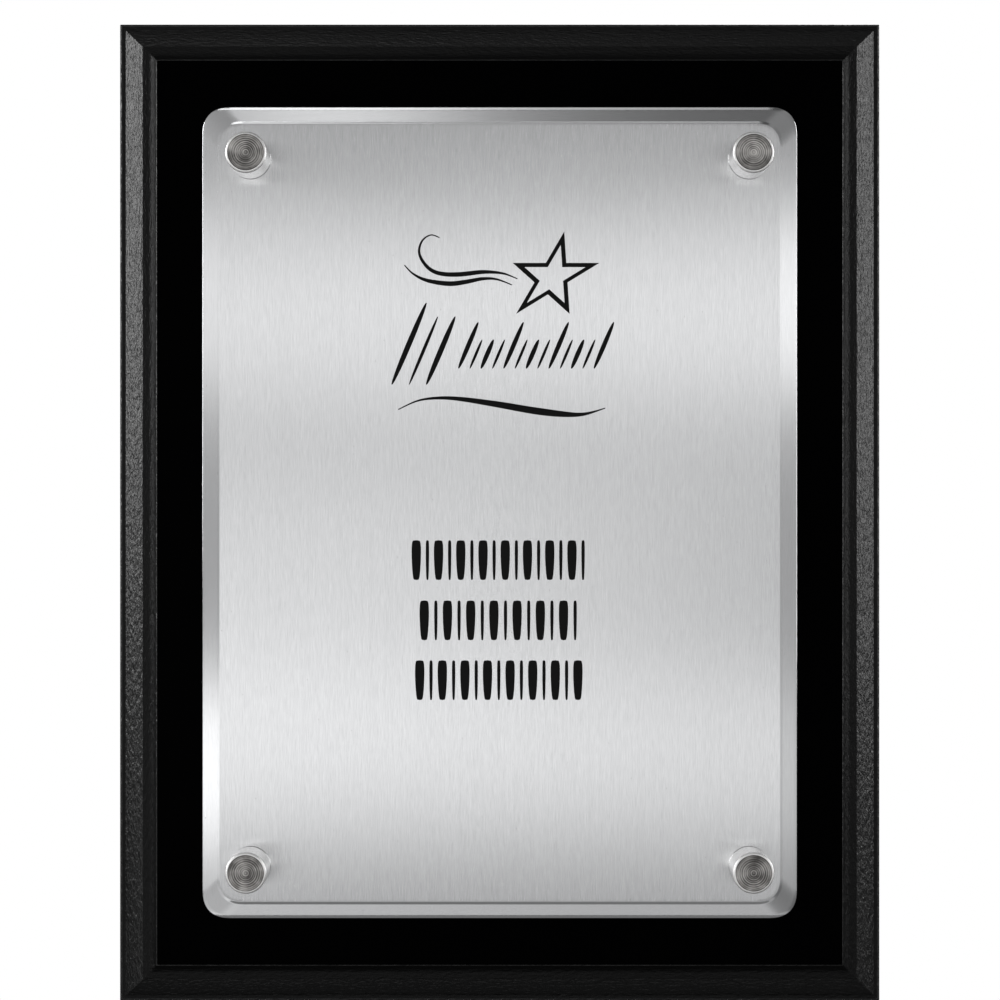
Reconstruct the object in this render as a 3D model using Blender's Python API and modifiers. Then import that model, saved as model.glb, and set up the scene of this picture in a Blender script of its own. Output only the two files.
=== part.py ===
"""Award plaque for a wall: a black moulded board that carries a silver plate on four turned standoffs.

Metres, +Z up. The board's back lies in the plane y = 0, against the wall, and the plaque faces -Y.
The origin is the middle of the board's back.
"""

import math

import bmesh
import bpy
from mathutils import Matrix, Vector

# Gap between pieces that touch on the real plaque
CONTACT_GAP = 0.0003

# How far a cutter reaches past the face that it opens
CUTTER_OVERSHOOT = 0.002

# Edges that turn by more than this stay sharp in the shading
SHARP_ANGLE = math.radians(25)

# Board
BOARD_WIDTH = 0.1778
BOARD_HEIGHT = 0.2286
BOARD_THICKNESS = 0.0159

# Moulding along the board's edge, from its straight side in to the flat face
RIM_ROUND = 0.0006
RIM_LAND = 0.0008
SLOPE_WIDTH = 0.0045
SLOPE_RISE = 0.0033
SLOPE_BULGE = 0.00025
LEDGE_WIDTH = 0.0011
LEDGE_RISE = 0.00015
COVE_WIDTH = 0.0023
COVE_RISE = 0.0016
FACE_CHAMFER = 0.0002
RIM_SEGMENTS = 4
SLOPE_SEGMENTS = 5
COVE_SEGMENTS = 5

# Keyhole slot in the board's back: a screw's head goes in at its foot and slides up
KEYHOLE_ENTRY_DIAMETER = 0.0095
KEYHOLE_NECK_WIDTH = 0.0048
KEYHOLE_TRAVEL = 0.012
KEYHOLE_LIP = 0.003
KEYHOLE_DEPTH = 0.0075
KEYHOLE_BELOW_TOP = 0.030
KEYHOLE_SIDES = 24

# Plate, with the board's margin at its sides, and above and below it
PLATE_MARGIN_X = 0.0216
PLATE_MARGIN_Z = 0.0225
PLATE_THICKNESS = 0.004
PLATE_CORNER_RADIUS = 0.0054
FIELD_CORNER_RADIUS = 0.0045
CORNER_SEGMENTS = 10

# Edge of the plate, from its side in to the field
ARRIS_WIDTH = 0.0007
ARRIS_RISE = 0.0006
BEVEL_WIDTH = 0.0027
BEVEL_RISE = 0.0009
STEP_WIDTH = 0.0006
STEP_RISE = 0.0004

# Standoffs: a barrel behind the plate, and a cap whose stud goes through the plate into the barrel
STANDOFF_INSET_X = 0.0110
STANDOFF_INSET_Z = 0.0119
BARREL_DIAMETER = 0.0092
BARREL_LENGTH = 0.0095
BARREL_CHAMFER = 0.0004
CAP_DIAMETER = 0.0092
CAP_HEIGHT = 0.0095
CAP_CHAMFER = 0.0004
CAP_FOOT_CHAMFER = 0.0002
STUD_DIAMETER = 0.0050
STUD_ENGAGEMENT = 0.0050
STUD_CLEARANCE = 0.0004
BORE_SPARE_DEPTH = 0.0010
TURNED_STEPS = 32
AXIS_MERGE = 0.00001

# What follows from the sizes above
PLATE_WIDTH = BOARD_WIDTH - 2 * PLATE_MARGIN_X
PLATE_HEIGHT = BOARD_HEIGHT - 2 * PLATE_MARGIN_Z
BOARD_FACE_Y = -BOARD_THICKNESS
BARREL_BASE_Y = BOARD_FACE_Y - CONTACT_GAP
PLATE_BACK_Y = BARREL_BASE_Y - BARREL_LENGTH - CONTACT_GAP
PLATE_FRONT_Y = PLATE_BACK_Y - PLATE_THICKNESS
CAP_BASE_Y = PLATE_FRONT_Y - CONTACT_GAP
STUD_LENGTH = STUD_ENGAGEMENT + PLATE_THICKNESS + 2 * CONTACT_GAP
BORE_RADIUS = STUD_DIAMETER / 2 + STUD_CLEARANCE
STANDOFF_X = PLATE_WIDTH / 2 - STANDOFF_INSET_X
STANDOFF_Z = PLATE_HEIGHT / 2 - STANDOFF_INSET_Z


def clear_scene():
    for old in list(bpy.data.objects):
        bpy.data.objects.remove(old, do_unlink=True)


def new_collection(name):
    collection = bpy.data.collections.new(name)
    bpy.context.scene.collection.children.link(collection)
    return collection


def new_material(name, color, metallic, roughness):
    material = bpy.data.materials.new(name)
    material.use_nodes = True
    shader = material.node_tree.nodes["Principled BSDF"]
    shader.inputs["Base Color"].default_value = (*color, 1.0)
    shader.inputs["Metallic"].default_value = metallic
    shader.inputs["Roughness"].default_value = roughness
    material.diffuse_color = (*color, 1.0)
    return material


def shade(mesh):
    mesh.shade_smooth()
    mesh.set_sharp_from_angle(angle=SHARP_ANGLE)


def object_from_bmesh(name, bm, collection):
    bmesh.ops.recalc_face_normals(bm, faces=bm.faces)
    mesh = bpy.data.meshes.new(name)
    bm.to_mesh(mesh)
    bm.free()
    shade(mesh)
    made = bpy.data.objects.new(name, mesh)
    collection.objects.link(made)
    return made


def cut(target, cutter):
    """Takes the cutter's shape out of the target, and keeps the cutter out of the render."""
    cutter.hide_render = True
    cutter.display_type = "WIRE"
    boolean = target.modifiers.new(cutter.name, "BOOLEAN")
    boolean.operation = "DIFFERENCE"
    boolean.solver = "EXACT"
    boolean.object = cutter


def slot_cutter(name, width, travel, front_y, back_y, foot_z, cutters):
    """A round hole along Y with its centre at foot_z, drawn out upwards by the travel.

    Its flanks are upright, because no point of the circle lies level with the centre.
    """
    bm = bmesh.new()
    turn = Matrix.Rotation(math.radians(90), 4, "X")
    half_side = Matrix.Rotation(math.pi / KEYHOLE_SIDES, 4, "Y")
    centre = Matrix.Translation((0, (front_y + back_y) / 2, foot_z))
    bmesh.ops.create_cone(
        bm,
        cap_ends=True,
        segments=KEYHOLE_SIDES,
        radius1=width / 2,
        radius2=width / 2,
        depth=back_y - front_y,
        matrix=centre @ half_side @ turn,
    )
    upper = [v for v in bm.verts if v.co.z > foot_z]
    bmesh.ops.translate(bm, verts=upper, vec=(0, 0, travel))
    return object_from_bmesh(name, bm, cutters)


def arc(count):
    """Angles of a quarter turn, in count steps, without its start."""
    return [math.pi / 2 * (i + 1) / count for i in range(count)]


def moulding_profile():
    """Points across the board's edge: (distance in from the straight side, height over the side's front)."""
    points = [(0.0, 0.0)]
    for a in arc(RIM_SEGMENTS):
        points.append((RIM_ROUND * (1 - math.cos(a)), RIM_ROUND * math.sin(a)))
    slope_start = RIM_ROUND + RIM_LAND
    points.append((slope_start, RIM_ROUND))
    slope_length = math.hypot(SLOPE_WIDTH, SLOPE_RISE)
    for i in range(1, SLOPE_SEGMENTS + 1):
        t = i / SLOPE_SEGMENTS
        bulge = SLOPE_BULGE * math.sin(math.pi * t)
        inward = SLOPE_WIDTH * t - bulge * SLOPE_RISE / slope_length
        height = SLOPE_RISE * t + bulge * SLOPE_WIDTH / slope_length
        points.append((slope_start + inward, RIM_ROUND + height))
    cove_start = slope_start + SLOPE_WIDTH + LEDGE_WIDTH
    cove_foot = RIM_ROUND + SLOPE_RISE + LEDGE_RISE
    points.append((cove_start, cove_foot))
    for a in arc(COVE_SEGMENTS):
        points.append((cove_start + COVE_WIDTH * math.sin(a), cove_foot + COVE_RISE * (1 - math.cos(a))))
    points.append((cove_start + COVE_WIDTH + FACE_CHAMFER, cove_foot + COVE_RISE + FACE_CHAMFER))
    return points


def make_board(parts, cutters, material):
    """A block whose front is inset and raised once for each step of the moulding's profile."""
    profile = moulding_profile()
    side_height = BOARD_THICKNESS - profile[-1][1]
    bm = bmesh.new()
    block = Matrix.Translation((0, -side_height / 2, 0)) @ Matrix.Diagonal(
        (BOARD_WIDTH, side_height, BOARD_HEIGHT, 1)
    )
    bmesh.ops.create_cube(bm, size=1, matrix=block)
    front = min(bm.faces, key=lambda face: face.calc_center_median().y)
    for (near, low), (far, high) in zip(profile, profile[1:]):
        bmesh.ops.inset_region(
            bm, faces=[front], thickness=far - near, depth=high - low, use_even_offset=True
        )
    board = object_from_bmesh("board", bm, parts)
    board.data.materials.append(material)

    foot_z = BOARD_HEIGHT / 2 - KEYHOLE_BELOW_TOP - KEYHOLE_TRAVEL
    slots = (
        ("keyhole_entry", KEYHOLE_ENTRY_DIAMETER, 0, CUTTER_OVERSHOOT),
        ("keyhole_neck", KEYHOLE_NECK_WIDTH, KEYHOLE_TRAVEL, CUTTER_OVERSHOOT),
        ("keyhole_undercut", KEYHOLE_ENTRY_DIAMETER, KEYHOLE_TRAVEL, -KEYHOLE_LIP),
    )
    for name, width, travel, back_y in slots:
        cut(board, slot_cutter(name, width, travel, -KEYHOLE_DEPTH, back_y, foot_z, cutters))
    return board


def rounded_rectangle(bm, width, height, radius, y):
    """A closed ring of points in the plane of that y, starting in the corner at +X +Z."""
    ring = []
    for quarter in range(4):
        side_x = 1 if quarter in (0, 3) else -1
        side_z = 1 if quarter in (0, 1) else -1
        centre = Vector((side_x * (width / 2 - radius), y, side_z * (height / 2 - radius)))
        for i in range(CORNER_SEGMENTS + 1):
            a = math.pi / 2 * (quarter + i / CORNER_SEGMENTS)
            spoke = Vector((math.cos(a), 0, math.sin(a)))
            ring.append(bm.verts.new(centre + radius * spoke))
    edges = [bm.edges.new((a, b)) for a, b in zip(ring, ring[1:] + ring[:1])]
    return ring, edges


def make_plate(parts, cutters, material):
    """Lofted through rounded rectangles, because the field's corners aren't an even inset of the plate's."""
    bevel_start = ARRIS_WIDTH
    step_start = bevel_start + BEVEL_WIDTH
    field_start = step_start + STEP_WIDTH
    step_y = PLATE_FRONT_Y + STEP_RISE
    bevel_y = step_y + BEVEL_RISE
    arris_y = bevel_y + ARRIS_RISE
    step_radius = FIELD_CORNER_RADIUS + STEP_WIDTH
    bevel_radius = PLATE_CORNER_RADIUS - ARRIS_WIDTH / 2
    sections = (
        (0.0, PLATE_CORNER_RADIUS, PLATE_BACK_Y),
        (0.0, PLATE_CORNER_RADIUS, arris_y),
        (bevel_start, bevel_radius, bevel_y),
        (step_start, step_radius, step_y),
        (field_start, FIELD_CORNER_RADIUS, PLATE_FRONT_Y),
    )
    bm = bmesh.new()
    rings = []
    for inset, radius, y in sections:
        width = PLATE_WIDTH - 2 * inset
        height = PLATE_HEIGHT - 2 * inset
        rings.append(rounded_rectangle(bm, width, height, radius, y))
    for (_, near), (_, far) in zip(rings, rings[1:]):
        bmesh.ops.bridge_loops(bm, edges=near + far)
    bm.faces.new(rings[0][0])
    bm.faces.new(rings[-1][0])
    plate = object_from_bmesh("plate", bm, parts)
    plate.data.materials.append(material)

    for corner, x, z in standoff_places():
        cut(plate, hole_cutter("hole_" + corner, x, z, cutters))
    return plate


def standoff_places():
    """Name and centre of each standoff, seen from the front."""
    for level, z in (("top", STANDOFF_Z), ("bottom", -STANDOFF_Z)):
        for side, x in (("left", -STANDOFF_X), ("right", STANDOFF_X)):
            yield f"{level}_{side}", x, z


def hole_cutter(name, x, z, cutters):
    bm = bmesh.new()
    bmesh.ops.create_cone(
        bm,
        cap_ends=True,
        segments=TURNED_STEPS,
        radius1=BORE_RADIUS,
        radius2=BORE_RADIUS,
        depth=PLATE_THICKNESS + 2 * CUTTER_OVERSHOOT,
        matrix=Matrix.Rotation(math.radians(90), 4, "X"),
    )
    cutter = object_from_bmesh(name, bm, cutters)
    cutter.location = (x, (PLATE_BACK_Y + PLATE_FRONT_Y) / 2, z)
    return cutter


def turned_mesh(name, profile):
    """Spins a profile of (radius, height) points round Z. Its outer side runs from the top down."""
    mesh = bpy.data.meshes.new(name)
    points = [(radius, 0, height) for radius, height in profile]
    mesh.from_pydata(points, [(i, i + 1) for i in range(len(points) - 1)], [])
    blank = bpy.data.objects.new(name, mesh)
    bpy.context.scene.collection.objects.link(blank)
    screw = blank.modifiers.new("turn", "SCREW")
    screw.angle = math.radians(360)
    screw.steps = TURNED_STEPS
    screw.render_steps = TURNED_STEPS
    screw.use_merge_vertices = True
    screw.merge_threshold = AXIS_MERGE
    evaluated = blank.evaluated_get(bpy.context.evaluated_depsgraph_get())
    finished = bpy.data.meshes.new_from_object(evaluated)
    bpy.data.objects.remove(blank)
    finished.name = name
    shade(finished)
    return finished


def place_on_axis(name, mesh, axis, height, parts):
    made = bpy.data.objects.new(name, mesh)
    parts.objects.link(made)
    made.parent = axis
    made.location = (0, 0, height)


def barrel_profile():
    """From the bottom of the blind bore, over the front end and down the outside to the middle of the base."""
    radius = BARREL_DIAMETER / 2
    bore_bottom = BARREL_LENGTH - STUD_ENGAGEMENT - BORE_SPARE_DEPTH
    return [
        (0, bore_bottom),
        (BORE_RADIUS, bore_bottom),
        (BORE_RADIUS, BARREL_LENGTH),
        (radius - BARREL_CHAMFER, BARREL_LENGTH),
        (radius, BARREL_LENGTH - BARREL_CHAMFER),
        (radius, BARREL_CHAMFER),
        (radius - BARREL_CHAMFER, 0),
        (0, 0),
    ]


def cap_profile():
    """From the middle of the front face down the outside, in under the head and down the stud."""
    radius = CAP_DIAMETER / 2
    return [
        (0, CAP_HEIGHT),
        (radius - CAP_CHAMFER, CAP_HEIGHT),
        (radius, CAP_HEIGHT - CAP_CHAMFER),
        (radius, CAP_FOOT_CHAMFER),
        (radius - CAP_FOOT_CHAMFER, 0),
        (STUD_DIAMETER / 2, 0),
        (STUD_DIAMETER / 2, -STUD_LENGTH),
        (0, -STUD_LENGTH),
    ]


def make_standoffs(parts, material):
    """Each standoff hangs on an empty on the board's face, whose Z axis points out to the front."""
    barrel = turned_mesh("standoff_barrel", barrel_profile())
    cap = turned_mesh("standoff_cap", cap_profile())
    barrel.materials.append(material)
    cap.materials.append(material)
    for corner, x, z in standoff_places():
        axis = bpy.data.objects.new("standoff_" + corner, None)
        parts.objects.link(axis)
        axis.location = (x, BARREL_BASE_Y, z)
        axis.rotation_euler = (math.radians(90), 0, 0)
        place_on_axis("standoff_barrel_" + corner, barrel, axis, 0, parts)
        place_on_axis("standoff_cap_" + corner, cap, axis, BARREL_BASE_Y - CAP_BASE_Y, parts)


def main():
    clear_scene()
    parts = new_collection("award_plaque")
    cutters = new_collection("cutters")
    black_board = new_material("black_board", (0.010, 0.010, 0.011), 0.0, 0.38)
    brushed_silver = new_material("brushed_silver", (0.72, 0.72, 0.73), 1.0, 0.32)
    turned_steel = new_material("turned_steel", (0.62, 0.61, 0.59), 1.0, 0.22)
    make_board(parts, cutters, black_board)
    make_plate(parts, cutters, brushed_silver)
    make_standoffs(parts, turned_steel)


main()
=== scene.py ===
"""Looks of the award plaque: a silver plate on four turned standoffs in front of a black board.

Metres, +Z up, the board's back in the plane y = 0, and the plaque facing -Y.
"""

import math

import bmesh
import bpy
from mathutils import Matrix, Vector


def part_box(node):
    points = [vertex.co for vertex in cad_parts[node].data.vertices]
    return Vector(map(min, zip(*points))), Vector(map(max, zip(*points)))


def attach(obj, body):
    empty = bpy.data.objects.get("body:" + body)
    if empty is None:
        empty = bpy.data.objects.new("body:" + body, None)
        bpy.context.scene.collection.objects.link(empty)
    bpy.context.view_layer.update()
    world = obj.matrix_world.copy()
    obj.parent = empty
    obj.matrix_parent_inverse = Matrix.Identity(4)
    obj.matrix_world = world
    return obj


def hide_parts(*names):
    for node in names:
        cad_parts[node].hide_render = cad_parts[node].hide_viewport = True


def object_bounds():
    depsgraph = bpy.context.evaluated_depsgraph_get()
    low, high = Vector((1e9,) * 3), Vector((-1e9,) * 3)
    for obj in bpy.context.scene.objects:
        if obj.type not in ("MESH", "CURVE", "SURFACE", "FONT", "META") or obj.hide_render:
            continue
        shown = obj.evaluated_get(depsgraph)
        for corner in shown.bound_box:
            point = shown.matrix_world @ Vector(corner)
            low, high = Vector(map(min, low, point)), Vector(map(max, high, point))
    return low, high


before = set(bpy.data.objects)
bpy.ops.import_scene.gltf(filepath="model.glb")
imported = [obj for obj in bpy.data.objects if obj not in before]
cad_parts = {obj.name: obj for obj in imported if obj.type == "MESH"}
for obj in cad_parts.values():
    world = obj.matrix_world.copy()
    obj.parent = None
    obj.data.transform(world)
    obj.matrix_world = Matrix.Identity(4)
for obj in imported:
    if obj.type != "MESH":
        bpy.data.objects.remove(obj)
cad_low, cad_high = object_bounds()
scene = bpy.context.scene
MM = 0.001


# Board. Fibreboard, cut to size and then run along a moulding cutter on all four sides, so the mitre
# lines at its corners are only where two runs meet. Black lacquer covers it: smooth on the flat face,
# and over the raised grain of the cut on the moulding. The keyhole slot is routed after painting.
board_low, board_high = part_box("board")
BOARD_WIDTH = board_high.x - board_low.x
BOARD_HEIGHT = board_high.z - board_low.z
BOARD_THICKNESS = board_high.y - board_low.y
RIM_ROUND = 0.6 * MM
RIM_LAND = 0.8 * MM
SLOPE_WIDTH = 4.5 * MM
SLOPE_RISE = 3.3 * MM
SLOPE_BULGE = 0.14 * MM
LEDGE_WIDTH = 1.1 * MM
LEDGE_RISE = 0.15 * MM
COVE_WIDTH = 2.3 * MM
COVE_RISE = 1.6 * MM
COVE_CURVE = 2.1
SLOPE_START = RIM_ROUND + RIM_LAND
LEDGE_START = SLOPE_START + SLOPE_WIDTH
COVE_START = LEDGE_START + LEDGE_WIDTH
FACE_CHAMFER = 0.2 * MM
ARRIS_FALL = 0.09 * MM
BACK_CHAMFER = 0.3 * MM
MITRE_RADIUS = 0.22 * MM
MITRE_STEPS = 4
RIM_STEPS = 8
SLOPE_STEPS = 10
COVE_STEPS = 12
LACQUER_EASE = 0.15 * MM
EASE_STEPS = 3
LEAST_EASED_TURN = math.radians(14)
SHARP_ANGLE = math.radians(32)
KEYHOLE_ENTRY = 9.5 * MM
KEYHOLE_NECK = 4.8 * MM
KEYHOLE_TRAVEL = 12 * MM
KEYHOLE_LIP = 3 * MM
KEYHOLE_DEPTH = 7.5 * MM
KEYHOLE_BELOW_TOP = 30 * MM
KEYHOLE_SIDES = 64
CUTTER_OVERSHOOT = 2 * MM
GRAIN_WIDTH = 0.70 * MM
GRAIN_LENGTH = 1.9 * MM
FACE_BLACK = (0.0004, 0.0004, 0.0005, 1)
MOULDING_BLACK = (0.0012, 0.0012, 0.0013, 1)
BACK_BLACK = (0.010, 0.010, 0.011, 1)
BACK_DUSTY = (0.016, 0.016, 0.017, 1)
FIBRE_DARK = (0.075, 0.050, 0.032, 1)
FIBRE_LIGHT = (0.16, 0.11, 0.07, 1)
FACE, SATIN, BACK, DULL = range(4)


class Wire:
    """A node's output. Maths on it adds the Math nodes that do the same."""

    def __init__(self, graph, socket):
        self.graph = graph
        self.socket = socket

    def also(self, name):
        """Another output of the same node."""
        return Wire(self.graph, self.socket.node.outputs[name])

    def __add__(self, other):
        return self.graph.maths("ADD", self, other)

    def __radd__(self, other):
        return self.graph.maths("ADD", other, self)

    def __sub__(self, other):
        return self.graph.maths("SUBTRACT", self, other)

    def __rsub__(self, other):
        return self.graph.maths("SUBTRACT", other, self)

    def __mul__(self, other):
        return self.graph.maths("MULTIPLY", self, other)

    def __rmul__(self, other):
        return self.graph.maths("MULTIPLY", other, self)

    def __truediv__(self, other):
        return self.graph.maths("DIVIDE", self, other)

    def __rtruediv__(self, other):
        return self.graph.maths("DIVIDE", other, self)

    def __pow__(self, other):
        return self.graph.maths("POWER", self, other)

    def __mod__(self, other):
        return self.graph.maths("FLOORED_MODULO", self, other)

    def __lt__(self, other):
        return self.graph.maths("LESS_THAN", self, other)

    def __gt__(self, other):
        return self.graph.maths("GREATER_THAN", self, other)

    def __abs__(self):
        return self.graph.maths("ABSOLUTE", self)


class Graph:
    """The nodes of one material, world or geometry node tree."""

    def __init__(self, tree):
        self.tree = tree

    def node(self, kind, settings=None, sockets=None, output=0):
        """Adds a node: its settings first, then the value or the Wire of each named socket."""
        made = self.tree.nodes.new(kind)
        for name, value in (settings or {}).items():
            if name == "stops":
                set_stops(made.color_ramp, value)
            else:
                setattr(made, name, value)
        for name, value in (sockets or {}).items():
            if isinstance(value, Wire):
                self.tree.links.new(value.socket, made.inputs[name])
            else:
                made.inputs[name].default_value = value
        return Wire(self, made.outputs[output]) if made.outputs else None

    def maths(self, operation, *values):
        return self.node("ShaderNodeMath", {"operation": operation}, dict(enumerate(values)))

    def blend(self, share, start, end):
        """A colour between two colours."""
        return self.node("ShaderNodeMix", {"data_type": "RGBA"}, {0: share, 6: start, 7: end}, 2)

    def vector(self, x, y, z):
        return self.node("ShaderNodeCombineXYZ", sockets={"X": x, "Y": y, "Z": z})

    def noise(self, place, size, detail=2.0, roughness=0.5):
        """Even noise from 0 to 1. Its waves are as long as size, which may differ along x, y and z."""
        sizes = size if isinstance(size, tuple) else (size, size, size)
        waves = self.vector(*(along / wave for along, wave in zip(place, sizes)))
        values = {"Vector": waves, "Scale": 1.0, "Detail": detail, "Roughness": roughness}
        return self.node("ShaderNodeTexNoise", sockets=values)


def set_stops(ramp, stops):
    while len(ramp.elements) < len(stops):
        ramp.elements.new(1.0)
    for element, (place, value) in zip(ramp.elements, stops):
        element.position = place
        element.color = (value, value, value, 1)


def new_finish(name):
    """An empty material and its graph."""
    material = bpy.data.materials.new(name)
    material.use_nodes = True
    material.node_tree.nodes.clear()
    return material, Graph(material.node_tree)


def finish_with(graph, sockets):
    """A Principled surface with these sockets, as the material's output."""
    surface = graph.node("ShaderNodeBsdfPrincipled", sockets=sockets)
    graph.node("ShaderNodeOutputMaterial", sockets={"Surface": surface})


def object_place(graph):
    """The point on the piece, as wires for x, y and z in metres."""
    place = graph.node("ShaderNodeTexCoord", output="Object")
    x = graph.node("ShaderNodeSeparateXYZ", sockets={"Vector": place}, output="X")
    return x, x.also("Y"), x.also("Z")


def bumped(graph, height, depth):
    """A normal from a height of 0 to 1 that stands for this depth in metres."""
    return graph.node("ShaderNodeBump", sockets={"Distance": depth, "Height": height})


def face_lacquer():
    """Flat, rubbed-out lacquer with hardly any sheen seen straight on."""
    material, graph = new_finish("black_lacquer_face")
    x, y, z = object_place(graph)
    haze = graph.noise((x, y, z), 9 * MM, 3.0)
    ripple = graph.noise((x, y, z), 1.6 * MM, 1.0)
    finish_with(graph, {
        "Base Color": FACE_BLACK,
        "Roughness": 0.2 + 0.1 * haze,
        "Specular IOR Level": 0.006,
        "Normal": bumped(graph, ripple, 0.004 * MM),
    })
    return material


def moulding_lacquer(name, sheen, roughness):
    """Lacquer over cut fibres that run along each side of the board."""
    material, graph = new_finish(name)
    x, y, z = object_place(graph)
    beside = (abs(x) - BOARD_WIDTH / 2) > (abs(z) - BOARD_HEIGHT / 2)
    along = beside * z + (1 - beside) * x
    across = beside * x + (1 - beside) * z
    fibres = graph.noise((along, across, y), (GRAIN_LENGTH, GRAIN_WIDTH, GRAIN_WIDTH), 2.0, 0.6)
    pores = graph.noise((along, across, y), (0.5 * MM, 0.25 * MM, 0.25 * MM), 1.0)
    relief = fibres + 0.15 * pores
    finish_with(graph, {
        "Base Color": graph.blend(fibres, FACE_BLACK, MOULDING_BLACK),
        "Roughness": roughness + 0.12 * pores,
        "Specular IOR Level": sheen,
        "Normal": bumped(graph, relief, 0.27 * MM),
    })
    return material


def back_lacquer():
    """One thin coat on the back and the straight sides, a little dusty and uneven."""
    material, graph = new_finish("black_lacquer_back")
    x, y, z = object_place(graph)
    cloud = graph.noise((x, y, z), 22 * MM, 4.0)
    peel = graph.noise((x, y, z), 0.7 * MM)
    finish_with(graph, {
        "Base Color": graph.blend(cloud, BACK_BLACK, BACK_DUSTY),
        "Roughness": 0.48 + 0.16 * cloud,
        "Specular IOR Level": 0.35,
        "Normal": bumped(graph, peel, 0.03 * MM),
    })
    return material


def cut_fibreboard():
    """Bare brown fibreboard where the keyhole slot is routed."""
    material, graph = new_finish("cut_fibreboard")
    x, y, z = object_place(graph)
    fuzz = graph.noise((x, y, z), 0.3 * MM, 4.0)
    finish_with(graph, {
        "Base Color": graph.blend(fuzz, FIBRE_DARK, FIBRE_LIGHT),
        "Roughness": 0.9,
        "Specular IOR Level": 0.2,
        "Normal": bumped(graph, fuzz, 0.1 * MM),
    })
    return material


def quarter_turn(steps):
    """Angles of a quarter turn, without its start."""
    return [math.pi / 2 * (i + 1) / steps for i in range(steps)]


def moulding_profile():
    """Points across the board's edge: distance in from the straight side, and height over its front."""
    points = [(0.0, 0.0)]
    for a in quarter_turn(RIM_STEPS):
        points.append((RIM_ROUND * (1 - math.cos(a)), RIM_ROUND * math.sin(a)))
    points.append((SLOPE_START, RIM_ROUND))
    slope_length = math.hypot(SLOPE_WIDTH, SLOPE_RISE)
    for i in range(1, SLOPE_STEPS + 1):
        t = i / SLOPE_STEPS
        bulge = SLOPE_BULGE * math.sin(math.pi * t)
        inward = SLOPE_WIDTH * t - bulge * SLOPE_RISE / slope_length
        height = SLOPE_RISE * t + bulge * SLOPE_WIDTH / slope_length
        points.append((SLOPE_START + inward, RIM_ROUND + height))
    cove_foot = RIM_ROUND + SLOPE_RISE + LEDGE_RISE
    cove_rise = COVE_RISE + FACE_CHAMFER - ARRIS_FALL
    for i in range(COVE_STEPS + 1):
        t = i / COVE_STEPS
        points.append((COVE_START + COVE_WIDTH * t, cove_foot + cove_rise * t**COVE_CURVE))
    points.append((COVE_START + COVE_WIDTH + FACE_CHAMFER, cove_foot + COVE_RISE + FACE_CHAMFER))
    return points


def eased(points, reach):
    """The same line with its sharp corners drawn as short curves."""
    points = [Vector(p) for p in points]
    line = [points[0]]
    for before, corner, after in zip(points, points[1:], points[2:]):
        arrive, leave = corner - before, after - corner
        if arrive.angle(leave) < LEAST_EASED_TURN:
            line.append(corner)
            continue
        start = corner - arrive.normalized() * min(reach, arrive.length * 0.4)
        end = corner + leave.normalized() * min(reach, leave.length * 0.4)
        for i in range(EASE_STEPS + 1):
            t = i / EASE_STEPS
            line.append((1 - t) ** 2 * start + 2 * t * (1 - t) * corner + t**2 * end)
    line.append(points[-1])
    return line


def rounded_ring(bm, width, height, radius, y, steps, fullness=2.0):
    """A closed ring round a rectangle, in the plane of that y.

    Its corners are arcs at a fullness of 2, and turn more softly out of the sides above that.
    """
    ring = []
    for quarter in range(4):
        side_x = 1 if quarter in (0, 3) else -1
        side_z = 1 if quarter in (0, 1) else -1
        for i in range(steps + 1):
            a = math.pi / 2 * (quarter + i / steps)
            x = side_x * (width / 2 - radius + radius * abs(math.cos(a)) ** (2 / fullness))
            z = side_z * (height / 2 - radius + radius * abs(math.sin(a)) ** (2 / fullness))
            ring.append(bm.verts.new((x, y, z)))
    return ring


def loft(bm, rings, slot_of):
    """Walls between rings and a face over each end. slot_of gives each wall its material's number."""
    for level, (near, far) in enumerate(zip(rings, rings[1:])):
        for i in range(len(near)):
            j = (i + 1) % len(near)
            wall = bm.faces.new((near[i], near[j], far[j], far[i]))
            wall.material_index = slot_of(level)
    for level, ring in ((0, rings[0]), (len(rings) - 2, rings[-1])):
        end = bm.faces.new(ring)
        end.material_index = slot_of(level)
    bmesh.ops.recalc_face_normals(bm, faces=bm.faces)


def mesh_from(bm, name, materials):
    mesh = bpy.data.meshes.new(name)
    bm.to_mesh(mesh)
    bm.free()
    for material in materials:
        mesh.materials.append(material)
    return mesh


def linked(name, mesh):
    made = bpy.data.objects.new(name, mesh)
    scene.collection.objects.link(made)
    return made


def carved(name, mesh, cutters):
    """The mesh with the cutters' shapes taken out of it, and the cutters' materials on the cuts."""
    blank = linked(name, mesh)
    for cutter in cutters:
        boolean = blank.modifiers.new(cutter.name, "BOOLEAN")
        boolean.operation = "DIFFERENCE"
        boolean.solver = "EXACT"
        boolean.material_mode = "TRANSFER"
        boolean.object = cutter
    made = bpy.data.meshes.new_from_object(blank.evaluated_get(bpy.context.evaluated_depsgraph_get()))
    for used in (blank, *cutters):
        bpy.data.objects.remove(used)
    return made


def shaded(name, mesh):
    """The finished piece: smooth where it curves, and flat faces kept flat beside small curves."""
    mesh.shade_smooth()
    mesh.set_sharp_from_angle(angle=SHARP_ANGLE)
    blank = linked(name, mesh)
    weighted = blank.modifiers.new("flat faces stay flat", "WEIGHTED_NORMAL")
    weighted.keep_sharp = True
    made = bpy.data.meshes.new_from_object(blank.evaluated_get(bpy.context.evaluated_depsgraph_get()))
    bpy.data.objects.remove(blank)
    made.name = name
    return linked(name, made)


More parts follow.
